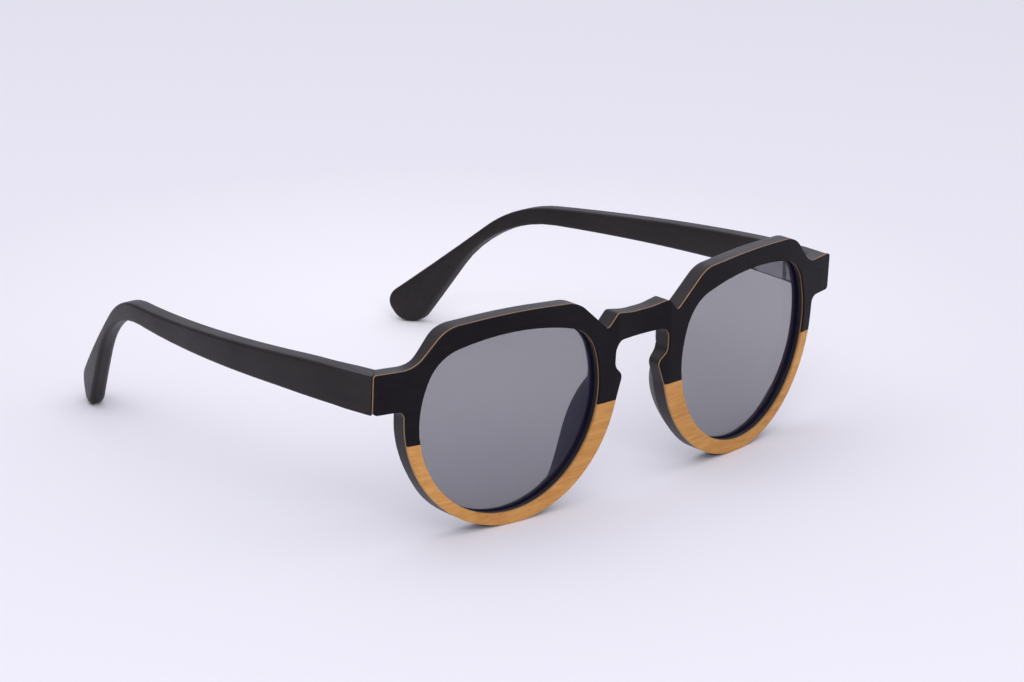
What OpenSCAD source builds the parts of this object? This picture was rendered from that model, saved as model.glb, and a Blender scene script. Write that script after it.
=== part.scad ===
// Wooden sunglasses with a laminated, wrapped front, tinted lenses and sprung hinges.
// The front faces -Y and the temples reach back along +Y. The glasses stand open on
// their rims and temple tips at z = 0. Left and right are the wearer's, so left is +X.

/* [Front] */
// Length of each endpiece beyond its lens opening
end_l = 10.7; // [10:0.1:12.5]
// Radius of the wrapped front face, seen from above
wrap_r = 316; // [280:1:420]
// Forward lean of the front's top edge, in degrees
front_tilt = 2.6; // [0:0.1:5]
// Width of the brow above the lens opening, at the brow's corners
brow_w = 3.4; // [2.6:0.1:4.6]
// Arch of the brow between its corners
brow_arch = 1; // [0.2:0.1:2]
// How much shorter each brow is than its lens opening is wide
brow_cut = 13.6; // [12:0.1:17]
// Drop of the endpiece's top edge below the lens opening's top
end_drop = 4.4; // [3.4:0.1:5.4]
// Height of the endpiece and of the temple that meets it
end_h = 8.7; // [7.8:0.1:9.5]
// Drop of the bridge's top edge below the lens opening's top
bridge_drop = 2.2; // [1:0.1:3.4]
// Height of the bridge above the keyhole's arch
bridge_h = 5.5; // [4.5:0.1:7]
// Half width of the keyhole under the arch
keyhole_half_w = 8.6; // [7.5:0.1:9.2]
// Half width of the shallow scoop across the bridge's face
scoop_half_w = 8.3; // [7.95:0.05:8.8]
// Depth of that scoop
scoop_d = 0.75; // [0.4:0.05:1]
// Height of the straight seam in the face veneer
seam_h = 22.5; // [19:0.1:25]

/* [Lens and rim] */
// Gap between the two lens openings
bridge_gap = 26; // [24:0.1:28]
// Radius of the lens opening's lower half
lens_r = 23.9; // [23:0.1:24.5]
// Height of the lens opening
lens_h = 40.8; // [39:0.1:42]
// Radius of the opening's arched top
lens_top_r = 62; // [50:1:90]
// Radius that eases the opening's upper corners
lens_corner_r = 10; // [7:0.5:12]
// Width of the rim under the lens
rim_low = 2.8; // [2.2:0.1:3.4]
// Width of the rim on the temple side
rim_side = 3.3; // [2.8:0.1:4]
// Width of the rim on the nose side
rim_nose = 5.7; // [5:0.1:6.4]
// Thickness of the lens
lens_t = 1.2; // [0.9:0.1:1.5]
// Depth of the lens behind the front face
lens_depth = 1.8; // [1.5:0.1:2.1]
// Depth of the groove that holds the lens
groove_d = 0.8; // [0.5:0.1:1.1]

/* [Laminate] */
// Thickness of the face veneer
face_t = 0.4; // [0.3:0.05:0.7]
// Thickness of the pale accent veneer
accent_t = 0.4; // [0.3:0.05:0.6]
// Thickness of the whole front
front_t = 4; // [3.8:0.1:4.6]

/* [Temples] */
// Thickness of the temple
temple_t = 4.2; // [3.8:0.1:4.8]
// Radius of the temple's outer face, seen from above
bow_r = 210; // [200:1:260]
// Outward splay of the temple where it meets the front, in degrees
splay = 8; // [5:0.1:9]
// Fall of the top edge from the endpiece to the bend
temple_fall = 4.4; // [3:0.1:5.5]
// Height of the temple between the corners of its bend
waist_h = 3.8; // [3.4:0.1:4.6]
// Distance from the front to the corner that the tip stands on
tip_y = 131.5; // [122:0.5:138]
// Length of the paddle's end
tip_w = 11.6; // [10:0.1:13]
// Slope of the paddle's end, in degrees
tip_tilt = 58; // [54:0.1:62]
// Slope of the top edge behind the bend, in degrees
drop_top = 40; // [38:0.1:42]
// Slope of the lower edge behind the bend, in degrees
drop_low = 57.5; // [55:0.1:59]

/* [Nose pads] */
// Reach of the nose pad behind the front's back face
pad_reach = 5.2; // [3.5:0.1:6]
// Angle round the rim that the nose pad covers
pad_sweep = 68; // [60:1:72]
// Splay of the pad's rear edge, as a share of the rim's width
pad_splay = 0.78; // [0.6:0.01:0.9]

/* [Hinges] */
// Radius of the hinge knuckles
knuckle_r = 1.3; // [1.2:0.05:1.5]
// Radius of the hinge screw's shank
pin_r = 0.7; // [0.6:0.05:0.75]
// Height of the front leaf's knuckles together
leaf_h = 5.4; // [4.8:0.1:6]
// Height of the carriage's eye
eye_h = 2.1; // [1.8:0.1:2.4]
// Thickness of the front leaf's plate
leaf_t = 1; // [0.8:0.05:1.2]
// Distance from the lens opening to the front leaf's plate
leaf_clear = 1.3; // [1.2:0.05:1.6]
// Distance from the endpiece's end to the front leaf's plate
leaf_end_clear = 4.7; // [4.4:0.1:5]
// Distance from the temple's end back to the hinge screw
pin_back = 3.5; // [3:0.1:3.8]
// Distance from the temple's inner face inward to the hinge screw
pin_in = 0.6; // [0.4:0.05:0.9]
// Travel of the sprung carriage in its housing
spring_travel = 1.5; // [1:0.1:1.7]
// Length of the spring housing
housing_l = 9.4; // [9.2:0.1:11]
// Height of the spring housing
housing_h = 5.6; // [5:0.1:6]
// Length of the housing's screwed tail
tail_l = 3.6; // [3.2:0.1:5]
// Radius of the small wood screws
screw_r = 0.5; // [0.4:0.05:0.55]

/* [Hidden] */
$fn = 48;

ebony = [0.13, 0.11, 0.11];
honey = [0.72, 0.50, 0.27];
tan_wood = [0.66, 0.47, 0.28];
smoke = [0.30, 0.30, 0.34, 0.6];
steel = [0.72, 0.72, 0.74];

// Clearances: glued seams, running fits, and gaps between moving wood
glue = 0.02;
run_fit = 0.04;
slide_fit = 0.05;
wood_gap = 0.15;
knuckle_gap = 0.15;
// Cutting bodies overshoot by this much
over = 1;
// Angle that one step of a round stretch turns through
arc_step = 6;
wrap_fn = 360;

// Rim and lens: two eccentric circles and an arched top
lens_x = bridge_gap / 2 + lens_r;
lens_z = rim_low + lens_r;
lens_top_shift = 1;
lens_c = [lens_x, lens_z];
lens_top_c = [lens_x + lens_top_shift, rim_low + lens_h - lens_top_r];
rim_r = lens_r + (rim_side + rim_nose) / 2;
rim_c = [lens_x + (rim_side - rim_nose) / 2, rim_r];

// Front outline, as corners with the radius that eases each
opening_x = lens_x + lens_r;
end_x = opening_x + end_l;
front_w = 2 * end_x;
lens_top = rim_low + lens_h;
brow_h = lens_top + brow_w;
brow_l = 2 * lens_r - brow_cut;
end_top = lens_top - end_drop;
end_low = end_top - end_h;
bridge_top = lens_top - bridge_drop;
keyhole_top = bridge_top - bridge_h;
end_r = 0.6;
end_low_r = 0.8;
end_root_r = 2;
end_root = [rim_c[0] + sqrt(pow(rim_r + end_root_r, 2) - pow(end_low - end_root_r - rim_c[1], 2)),
    end_low - end_root_r];
brow_shift = 0.6;
brow_mid_x = lens_x + brow_shift;
brow_in_x = brow_mid_x - brow_l / 2;
brow_out_x = brow_mid_x + brow_l / 2;
brow_r = 150;
brow_in_r = 8;
brow_out_r = 8;
step_out = 7.4;
step_in = 9.4;
step_r = 7;
notch_z = end_top - 0.15;
notch_r = 1.2;
horn_in = 3.1;
horn_rise = 0.8;
horn = [brow_in_x - step_in - horn_in, bridge_top + horn_rise];
notch = [brow_in_x - step_in, notch_z];
horn_r = 1;
saddle_half_l = 3;
saddle_r = 20;
bump_x = 5.9;
bump_z = seam_h + 5.25;
bump_r = 1.6;
kink_rise = 2.45;
kink_r = 2.4;
arch_r = 2.6;
seam_x = rim_c[0] - sqrt(pow(rim_r, 2) - pow(rim_c[1] - seam_h, 2));

// The scoop is a round hollow between two creases that stand on the horns
function wrap_y(x, r) = wrap_r - sqrt(pow(r, 2) - pow(x, 2));
crease_z = horn[1] + (scoop_half_w - horn[0]) * (notch[1] - horn[1]) / (notch[0] - horn[0]);
scoop_rise = scoop_d - wrap_y(scoop_half_w, wrap_r);
scoop_r = (pow(scoop_half_w, 2) + pow(scoop_rise, 2)) / (2 * scoop_rise);

// Nose pads start this far above the rim's middle, as an angle
pad_start = 2;

// Hinge height, and the front's height of the same place
hinge_z = end_top - end_h / 2;
rim_y = wrap_y(rim_c[0], wrap_r);
front_drop = (hinge_z + rim_y * sin(front_tilt)) / cos(front_tilt);

// Temple seen from above: an arc that starts flush with the endpiece's end, where the
// front's core and the temple meet in a mitre behind the accent veneer
back_r = wrap_r - front_t;
core_r = wrap_r - face_t - accent_t - glue;
mitre = 45;
corner = [end_x, wrap_y(end_x, core_r)];
along = [sin(splay), cos(splay)];
inward = [-cos(splay), sin(splay)];
corner_splay = splay + asin((core_r - back_r) / bow_r);
bow_c = corner + bow_r * [-cos(corner_splay), sin(corner_splay)];
joint = bow_c - bow_r * inward;
pin = joint + (temple_t + pin_in) * inward + pin_back * along;

// Temple seen from the side
fall_start = 28;
fall_r = 150;
taper_y = 38;
taper_rise = 0.7;
taper_r = 300;
tip_r = 3.7;
tip_end_r = 3.4;
tip_half = (180 - drop_low - tip_tilt) / 2;
tip_low = [tip_y, tip_r * (1 - sin(tip_tilt + tip_half) / sin(tip_half))];
tip_top = tip_low + tip_w * [cos(tip_tilt), sin(tip_tilt)];
bend_z = end_top - temple_fall;
bend_top = [tip_top[0] - (bend_z - tip_top[1]) / tan(drop_top), bend_z];
bend_low = [tip_y - (bend_z - waist_h - tip_low[1]) / tan(drop_low), bend_z - waist_h];
bend_top_r = 30;
bend_low_r = 32;
end_half = (drop_top + tip_tilt) / 2;
reach = tip_top[0] + tip_end_r * (1 - cos(tip_tilt - end_half) / sin(end_half));

// The origin lies under the middle of the whole length
front_most = wrap_y(scoop_half_w, wrap_r) * cos(front_tilt) + (front_drop - crease_z) * sin(front_tilt);
mid_y = (reach + front_most) / 2;

// Hinge details
leaf_l = end_l - leaf_clear - leaf_end_clear;
leaf_x = opening_x + leaf_clear + leaf_l / 2;
leaf_angle = asin(leaf_x / back_r);
leaf_y = wrap_r - back_r * cos(leaf_angle);
leaf_proud = 0.3;
leaf_screw_gap = leaf_h / 2;
leaf_screw_in = 0.8;
arm_w = 1.8;
arm_set = 0.28;
head_r = 1.9 * screw_r;
head_t = 0.45;
front_screw_l = 2.6;
tail_screw_l = 2.8;
pin_head_r = knuckle_r - 0.1;
pin_head_t = 0.5;
slot_w = 0.3;
slot_d = 0.25;
housing_start = knuckle_r + 0.45;
housing_half_t = knuckle_r;
neck_half_w = 0.8;
neck_l = 2.4;
neck_end = housing_start + neck_l;
shoulder_t = 1.2;
rod_r = 0.55;
wire_r = 0.16;
coil_fit = 0.12;
coil_r = rod_r + wire_r + coil_fit;
coil_turns = 3;
coil_slack = 0.9;
spring_l = spring_travel + 2 * wire_r * (coil_turns + 1) + coil_slack;
chamber_r = coil_r + wire_r + coil_fit;
chamber_start = neck_end + slide_fit + shoulder_t;
stop_start = chamber_start + spring_l + 2 * slide_fit;
stop_t = 0.9;
rod_end = stop_start + stop_t;
end_room = 0.5;
chamber_end = rod_end + end_room;
tail_t = 1.2;
tail_in = 0.45;
tail_screw_gap = housing_h / 2;

function unit(v) = v / norm(v);
function turned(v, a) = [v[0] * cos(a) - v[1] * sin(a), v[0] * sin(a) + v[1] * cos(a)];
function bearing(v) = atan2(v[1], v[0]);
function flat(p) = [p[0], p[1]];

// Round stretch about c from angle a0 to a1
function arc(c, r, a0, a1) =
    let (n = max(2, ceil(abs(a1 - a0) / arc_step)))
    [for (i = [0:n]) c + turned([r, 0], a0 + (a1 - a0) * i / n)];

// Corner b between a and c, eased by the radius in its third number
function eased(a, b, c) =
    let (u = unit(flat(a) - flat(b)), v = unit(flat(c) - flat(b)), half = acos(u * v) / 2,
        m = flat(b) + unit(u + v) * b[2] / sin(half), p = flat(b) + u * b[2] / tan(half) - m,
        q = flat(b) + v * b[2] / tan(half) - m, turn = atan2(cross(p, q), p * q),
        n = max(2, ceil(abs(turn) / arc_step)))
    [for (i = [0:n]) m + turned(p, turn * i / n)];

// Open run of corners, with its two ends kept sharp
function run(corners) =
    let (last = len(corners) - 1)
    [for (i = [0:last]) each (i == 0 || i == last) ? [flat(corners[i])]
        : eased(corners[i - 1], corners[i], corners[i + 1])];

// Point where circles about a and b cross, to the right (+1) or left (-1)
function crossing(a, ra, b, rb, side) =
    let (d = norm(b - a), along_ab = (ra * ra - rb * rb + d * d) / (2 * d), u = (b - a) / d,
        h = sqrt(ra * ra - along_ab * along_ab))
    a + along_ab * u + side * h * [-u[1], u[0]];

// Lens opening grown by d: a circle under an arched top, with eased corners
function opening(d) =
    let (right = crossing(lens_c, lens_r - lens_corner_r, lens_top_c, lens_top_r - lens_corner_r, 1),
        left = crossing(lens_c, lens_r - lens_corner_r, lens_top_c, lens_top_r - lens_corner_r, -1),
        r1 = bearing(right - lens_c), r2 = bearing(right - lens_top_c),
        l1 = bearing(left - lens_c), l2 = bearing(left - lens_top_c))
    concat(arc(right, lens_corner_r + d, r1, r2), arc(lens_top_c, lens_top_r + d, r2, l2),
        arc(left, lens_corner_r + d, l2, l1), arc(lens_c, lens_r + d, l1, r1 + 360));

// Left half of the front's outline, from the bridge's top round to the keyhole's arch
function half_outline() = concat(
    run([[0, bridge_top], [saddle_half_l, bridge_top, saddle_r], concat(horn, horn_r),
        concat(notch, notch_r), [brow_in_x, brow_h, brow_in_r],
        [brow_mid_x, brow_h + brow_arch, brow_r], [brow_out_x, brow_h, brow_out_r],
        [brow_out_x + step_out, end_top, step_r], [end_x, end_top, end_r],
        [end_x, end_low, end_low_r], [end_root[0], end_low]]),
    arc(end_root, end_root_r, 90, 180 + bearing(end_root - rim_c)),
    arc(rim_c, rim_r, bearing(end_root - rim_c), bearing([seam_x, seam_h] - rim_c) - 1),
    run([[seam_x, seam_h], [bump_x, bump_z, bump_r], [keyhole_half_w, bump_z + kink_rise, kink_r],
        [keyhole_half_w, keyhole_top, arch_r], [0, keyhole_top]]));

// Temple's side outline, clockwise from the end that meets the front
function temple_outline() = run([[0, end_top], [fall_start, end_top, fall_r],
    concat(bend_top, bend_top_r), concat(tip_top, tip_end_r), concat(tip_low, tip_r),
    concat(bend_low, bend_low_r), [taper_y, end_low + taper_rise, taper_r], [0, end_low]]);

// Faces of a body swept through steps of closed sections, with flat ends
function swept_faces(steps, sides) = concat(
    [for (i = [0:steps - 1]) for (k = [0:sides - 1])
        let (p = i * sides + k, q = i * sides + (k + 1) % sides)
            each [[p, p + sides, q], [q, p + sides, q + sides]]],
    [for (k = [1:sides - 2]) [0, k, k + 1]],
    [for (k = [1:sides - 2]) [steps * sides, steps * sides + k + 1, steps * sides + k]]);

module front_shape() {
    half = half_outline();
    polygon(concat(half, [for (i = [len(half) - 2:-1:1]) [-half[i][0], half[i][1]]]));
}

module openings(d) {
    for (s = [0, 1]) mirror([s, 0]) polygon(opening(d));
}

// All that lies deeper than d behind the front face, which is scooped but for its flat back
module behind(d, beyond = 0) {
    translate([0, 0, -over - beyond]) difference() {
        translate([0, wrap_r, 0])
            cylinder(r = wrap_r - d, h = brow_h + 4 * over + 2 * beyond, $fn = wrap_fn);
        if (d < front_t) translate([0, scoop_d - scoop_r, -over])
            cylinder(r = scoop_r + d, h = brow_h + 6 * over + 2 * beyond, $fn = wrap_fn);
    }
}

// Flat shape turned upright and wrapped, between two depths behind the front face
module wrapped(from, to) {
    intersection() {
        translate([0, joint[1] + 2 * over, 0]) rotate([90, 0, 0])
            linear_extrude(joint[1] + 4 * over) children();
        difference() {
            behind(from);
            behind(to, over);
        }
    }
}

// Places what is modelled upright on the leaning front
module leaning() {
    translate([0, -mid_y, hinge_z]) rotate([front_tilt, 0, 0]) translate([0, 0, -front_drop]) children();
}

// What lies outside the mitre of the left endpiece, moved outward by d
module beyond_mitre(d) {
    translate([corner[0], corner[1], -over]) rotate(mitre) translate([d, -front_w / 2, 0])
        cube([front_w, front_w, brow_h + 6 * over]);
}

// What lies in front of the wrap circle of radius r
module before(r) {
    translate([0, wrap_r, -over]) difference() {
        cylinder(r = 2 * wrap_r, h = brow_h + 3 * over);
        translate([0, 0, -over]) cylinder(r = r, h = brow_h + 5 * over, $fn = wrap_fn);
    }
}

// Mirrors a left piece to the right side
module side(right) {
    mirror([right ? 1 : 0, 0, 0]) children();
}

// Hinge's own axes: the screw upright through the origin, y back along the temple
module at_hinge() {
    translate([pin[0], pin[1] - mid_y, hinge_z]) rotate([0, 0, -splay]) children();
}

// Front leaf's own axes: the plate's rear face at y = 0, x outward along the front
module at_leaf() {
    translate([leaf_x, leaf_y + leaf_proud - mid_y, hinge_z]) rotate([0, 0, leaf_angle]) children();
}

module below_seam() {
    translate([-front_w, -over]) square([2 * front_w, seam_h + over]);
}

module front_frame() {
    color(ebony) difference() {
        leaning() difference() {
            wrapped(face_t + accent_t + glue, front_t) difference() {
                front_shape();
                openings(0);
            }
            wrapped(lens_depth - slide_fit, lens_depth + lens_t + slide_fit) openings(groove_d + slide_fit);
            for (s = [0, 1]) side(s) beyond_mitre(0);
        }
        for (s = [0, 1]) side(s) at_leaf() {
            translate([-leaf_l / 2 - slide_fit, -leaf_t, -leaf_h / 2 - slide_fit])
                cube([leaf_l + 2 * slide_fit, leaf_t + over, leaf_h + 2 * slide_fit]);
            leaf_screw_places() cylinder(r = screw_r + glue, h = front_screw_l + glue);
        }
    }
}

module accent_veneer() {
    color(tan_wood) leaning() wrapped(face_t + glue, face_t + accent_t) difference() {
        front_shape();
        openings(0);
    }
}

module brow_veneer() {
    color(ebony) leaning() wrapped(0, face_t) difference() {
        front_shape();
        openings(0);
        below_seam();
    }
}

module rim_veneer() {
    color(honey) leaning() wrapped(0, face_t) difference() {
        intersection() {
            front_shape();
            translate([0, -over]) square([front_w, seam_h + over - glue]);
        }
        openings(0);
    }
}

module lens() {
    color(smoke) leaning() wrapped(lens_depth, lens_depth + lens_t) polygon(opening(groove_d));
}

// Carved pad that swells from the nose side of the rim's back, as sections round the rim
module nose_pad() {
    stations = 20;
    points_across = 9;
    reach_bias = 0.8;
    inset = 0.3;
    eccentric = rim_c - lens_c;
    points = [for (i = [0:stations])
        let (share = (i + 0.5) / (stations + 1), d = turned([-1, 0], pad_sweep * share - pad_start),
            swell = sin(180 * pow(share, reach_bias)), across = eccentric * d, outer = rim_r - inset,
            inner = sqrt(pow(across, 2) - eccentric * eccentric + pow(lens_r + inset, 2)) - across,
            peak = pad_splay * (1 + swell) - 0.5)
        for (k = [0:points_across])
            let (t = k / points_across, bow = 2 * t * (1 - t),
                p = rim_c + d * (outer + (inner - outer) * (bow * peak + t * t)))
            [p[0], wrap_r - sqrt(pow(back_r - glue, 2) - pow(p[0], 2)) + 2 * bow * pad_reach * swell,
                p[1]]];
    color(ebony) leaning() polyhedron(points, swept_faces(stations, points_across + 1));
}

// Places each of the front leaf's screws with z pointing into the wood
module leaf_screw_places() {
    for (s = [-1, 1]) translate([-leaf_screw_in, 0, s * leaf_screw_gap / 2]) rotate([90, 0, 0]) children();
}

module flat_head_screw(shank_l, fit = 0) {
    cylinder(r = screw_r + fit, h = shank_l + fit);
    translate([0, 0, -fit]) cylinder(r = head_r + fit, h = head_t + 2 * fit);
}

// Plate let into the endpiece's back, with an arm to two knuckles round the hinge screw
module front_hinge() {
    corner = leaf_l / 2 - arm_w / 2 - arm_set;
    start = [leaf_x, leaf_y + leaf_proud] + turned([corner, -leaf_t / 2], leaf_angle);
    color(steel) difference() {
        union() {
            at_leaf() translate([-leaf_l / 2, -leaf_t + glue, -leaf_h / 2])
                cube([leaf_l, leaf_t - glue, leaf_h]);
            translate([0, -mid_y, hinge_z - leaf_h / 2]) linear_extrude(leaf_h) {
                translate(start) rotate(bearing(pin - start)) translate([0, -arm_w / 2])
                    square([norm(pin - start), arm_w]);
                translate(pin) circle(r = knuckle_r);
            }
        }
        at_hinge() {
            translate([0, 0, -leaf_h / 2 - over]) cylinder(r = pin_r + glue, h = leaf_h + 2 * over);
            translate([0, 0, -eye_h / 2 - slide_fit])
                cylinder(r = knuckle_r + knuckle_gap, h = eye_h + 2 * slide_fit);
        }
        at_leaf() leaf_screw_places() flat_head_screw(leaf_t + over, glue);
    }
}

module front_hinge_screws() {
    color(steel) at_leaf() leaf_screw_places() flat_head_screw(front_screw_l);
}

// Headed screw that the temple turns on
module hinge_screw() {
    color(steel) at_hinge() {
        translate([0, 0, -leaf_h / 2]) cylinder(r = pin_r, h = leaf_h + pin_head_t);
        translate([0, 0, leaf_h / 2 + glue]) difference() {
            cylinder(r = pin_head_r, h = pin_head_t);
            translate([-pin_head_r - over, -slot_w / 2, pin_head_t - slot_d])
                cube([2 * pin_head_r + 2 * over, slot_w, over]);
        }
    }
}

// Square neck of the carriage, grown by fit
module neck_form(fit = 0) {
    translate([-neck_half_w - fit, 0, -eye_h / 2 - fit])
        cube([2 * (neck_half_w + fit), neck_end + fit, eye_h + 2 * fit]);
}

// Sliding carriage: an eye round the hinge screw, a square neck and a round rod
module hinge_carriage() {
    color(steel) at_hinge() difference() {
        union() {
            translate([0, 0, -eye_h / 2]) cylinder(r = knuckle_r, h = eye_h);
            neck_form();
            rotate([-90, 0, 0]) cylinder(r = rod_r, h = rod_end);
        }
        translate([0, 0, -eye_h]) cylinder(r = pin_r + run_fit, h = 2 * eye_h);
    }
}

// Collar riveted to the rod's end, which squeezes the spring
module hinge_stop() {
    color(steel) at_hinge() translate([0, stop_start, 0]) rotate([-90, 0, 0]) difference() {
        cylinder(r = coil_r + wire_r, h = stop_t);
        translate([0, 0, -over]) cylinder(r = rod_r + glue, h = stop_t + 2 * over);
    }
}

// Coil of round wire round the rod, between the housing's shoulder and the stop
module hinge_spring() {
    rings = 12;
    sides = 6;
    steps = ceil(coil_turns * rings);
    rise = (spring_l - 2 * wire_r) / coil_turns;
    least_gap = rise - 2 * wire_r;
    echo(hinge_spring_least_gap = least_gap);
    points = [for (i = [0:steps]) let (a = 360 * coil_turns * i / steps)
        for (k = [0:sides - 1]) let (b = 360 * k / sides, r = coil_r + wire_r * cos(b))
            [r * cos(a), wire_r + rise * a / 360 + wire_r * sin(b), r * sin(a)]];
    color(steel) at_hinge() translate([0, chamber_start + slide_fit, 0])
        polyhedron(points, swept_faces(steps, sides));
}

// Outer form of the housing and its tail, grown by fit
module housing_form(fit = 0) {
    translate([-housing_half_t - fit, housing_start - fit, -housing_h / 2 - fit])
        cube([2 * housing_half_t + 2 * fit, housing_l + 2 * fit, housing_h + 2 * fit]);
    translate([-tail_in - fit, housing_start + housing_l - over, -housing_h / 2 - fit])
        cube([tail_t + 2 * fit, tail_l + over + fit, housing_h + 2 * fit]);
}

// Places each of the tail's screws with z pointing out into the temple
module tail_screw_places() {
    tail_mid = housing_start + housing_l + tail_l / 2;
    for (s = [-1, 1]) translate([-tail_in, tail_mid, s * tail_screw_gap / 2])
        rotate([0, 90, 0]) children();
}

// Metal box let into the temple, with a channel for the neck and a chamber for the spring
module hinge_housing() {
    color(steel) at_hinge() difference() {
        housing_form();
        neck_form(slide_fit);
        rotate([-90, 0, 0]) {
            cylinder(r = rod_r + slide_fit, h = chamber_end);
            translate([0, 0, chamber_start]) cylinder(r = chamber_r, h = chamber_end - chamber_start);
        }
        tail_screw_places() flat_head_screw(tail_t + over, glue);
    }
}

module housing_screws() {
    color(steel) at_hinge() tail_screw_places() flat_head_screw(tail_screw_l);
}

// Bowed wooden temple, cut to the front's back face, with a pocket for the housing
module temple() {
    color(ebony) difference() {
        translate([0, -mid_y, 0]) intersection() {
            rotate([90, 0, 90]) linear_extrude(front_w) polygon(temple_outline());
            translate([bow_c[0], bow_c[1], -over]) difference() {
                cylinder(r = bow_r, h = brow_h + 4 * over, $fn = wrap_fn);
                translate([0, 0, -over])
                    cylinder(r = bow_r - temple_t, h = brow_h + 6 * over, $fn = wrap_fn);
            }
        }
        leaning() before(core_r - wood_gap);
        leaning() difference() {
            before(back_r - wood_gap);
            translate([0, 0, -over]) beyond_mitre(wood_gap);
        }
        at_hinge() {
            housing_form(glue);
            translate([0, 0, -leaf_h / 2 - wood_gap])
                cylinder(r = knuckle_r + knuckle_gap, h = leaf_h + pin_head_t + glue + 2 * wood_gap);
            translate([-temple_t, -2 * pin_back, -end_h])
                cube([temple_t + knuckle_r + knuckle_gap, 2 * pin_back, 2 * end_h]);
            neck_form(slide_fit);
            tail_screw_places() cylinder(r = screw_r + glue, h = tail_screw_l + glue);
        }
    }
}

front_frame();
accent_veneer();
brow_veneer();
rim_veneer();  // rim_veneer_left
side(true) rim_veneer();  // rim_veneer_right
lens();  // lens_left
side(true) lens();  // lens_right
nose_pad();  // nose_pad_left
side(true) nose_pad();  // nose_pad_right
front_hinge();  // front_hinge_left
side(true) front_hinge();  // front_hinge_right
front_hinge_screws();  // front_hinge_screws_left
side(true) front_hinge_screws();  // front_hinge_screws_right
hinge_screw();  // hinge_screw_left
side(true) hinge_screw();  // hinge_screw_right
hinge_carriage();  // hinge_carriage_left
side(true) hinge_carriage();  // hinge_carriage_right
hinge_spring();  // hinge_spring_left
side(true) hinge_spring();  // hinge_spring_right
hinge_stop();  // hinge_stop_left
side(true) hinge_stop();  // hinge_stop_right
hinge_housing();  // hinge_housing_left
side(true) hinge_housing();  // hinge_housing_right
housing_screws();  // housing_screws_left
side(true) housing_screws();  // housing_screws_right
temple();  // temple_left
side(true) temple();  // temple_right
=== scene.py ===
"""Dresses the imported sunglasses: laminated front, tinted lenses, carved pads, bowed temples, steel hinges.

Lengths are in millimetres and angles in degrees until a mesh is made, which is in metres in the row frame.
"""
import logging
import math
from dataclasses import dataclass, field
from enum import Enum
from functools import cache
from typing import Any, Sequence

import bmesh
import bpy
import numpy as np
from mathutils import Matrix, Vector, geometry


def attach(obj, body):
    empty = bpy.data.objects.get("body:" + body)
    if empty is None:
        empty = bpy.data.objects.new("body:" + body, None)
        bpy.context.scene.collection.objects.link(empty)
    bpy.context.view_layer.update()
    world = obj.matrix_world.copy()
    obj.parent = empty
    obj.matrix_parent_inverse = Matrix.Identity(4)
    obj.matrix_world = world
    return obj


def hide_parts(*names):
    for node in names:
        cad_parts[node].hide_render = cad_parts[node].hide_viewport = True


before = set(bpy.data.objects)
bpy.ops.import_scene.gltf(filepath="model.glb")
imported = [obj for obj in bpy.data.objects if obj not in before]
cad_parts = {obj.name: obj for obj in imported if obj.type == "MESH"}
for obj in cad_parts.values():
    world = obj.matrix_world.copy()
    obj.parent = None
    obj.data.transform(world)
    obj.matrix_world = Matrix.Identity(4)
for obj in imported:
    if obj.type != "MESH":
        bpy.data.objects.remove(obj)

Array = np.ndarray
Colour = tuple[float, float, float]
Point = tuple[float, float, float]
Span = tuple[float, float]
Corner = tuple[float, float, float]  # offset in x and z, and radius
Row = tuple[Array, Any]  # flat points, and one depth or one for each
Object = bpy.types.Object
LOG = logging.getLogger("sunglasses")
MM = 0.001  # one millimetre, in metres
WELD = 2e-6  # distance at which a mesh's points become one, in metres
ARC_STEP = 3.0  # turn between the knots of an arc
ARC_LEAST = 3  # least knots of an arc
APART = 1e-4  # least distance between two knots
MERGE = 1e-5  # distance at which a cap's points become one
TINY = 1e-9  # least length that is divided by
HEX_ROW = 0.866  # distance between rows of even triangles, over their side
EDGE_ROOM = 0.45  # least distance of a cap's inner points from its edges, over their spacing


class Side(Enum):
    """Wearer's side, with the sign of its X."""

    LEFT = 1
    RIGHT = -1

    @property
    def word(self) -> str:
        """Word that ends the names of this side's nodes."""
        return self.name.lower()


class Grain(Enum):
    """Way that a wood's grain runs, as cycles per metre along X, Y and Z."""

    ACROSS_FRONT = (60.0, 1400.0, 1400.0)
    ALONG_TEMPLE = (1400.0, 45.0, 1100.0)


def unit(v: Array) -> Array:
    """Vectors of length one along the last axis."""
    return v / np.maximum(np.linalg.norm(v, axis=-1, keepdims=True), TINY)


def smooth(x: Array, low: float, high: float) -> Array:
    """Cubic step, t squared times 3 - 2 t, from 0 at low to 1 at high."""
    t = np.clip((x - low) / (high - low), 0, 1)
    return t * t * (3 - 2 * t)


def quarter(count: int) -> Array:
    """Even angles over a quarter turn, in radians."""
    return np.radians(np.linspace(0, 90, count))


def crossings(a: Array, ra: float, b: Array, rb: float) -> tuple[Array, Array]:
    """Points where two circles cross.

    Args:
        a: Centre of the first circle.
        ra: Its radius.
        b: Centre of the second circle.
        rb: Its radius.

    Returns:
        The crossing on the left of the way from a to b, and the one on its right.
    """
    d = np.linalg.norm(b - a)
    u = (b - a) / d
    t = (ra * ra - rb * rb + d * d) / (2 * d)
    across = math.sqrt(ra * ra - t * t) * np.array([-u[1], u[0]])
    return a + t * u + across, a + t * u - across


def bearing(v: Array) -> float:
    """Direction of a flat vector, in degrees."""
    return math.degrees(math.atan2(v[1], v[0]))


def linked(name: str, data: bpy.types.ID) -> Object:
    """Object of the scene with this data.

    Args:
        name: Name of the object.
        data: Its mesh, camera or light.

    Returns:
        The object.
    """
    obj = bpy.data.objects.new(name, data)
    bpy.context.scene.collection.objects.link(obj)
    return obj


def off(x: float, z: float, corner: Corner) -> Corner:
    """Corner at its offset from a place."""
    return x + corner[0], z + corner[1], corner[2]


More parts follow.
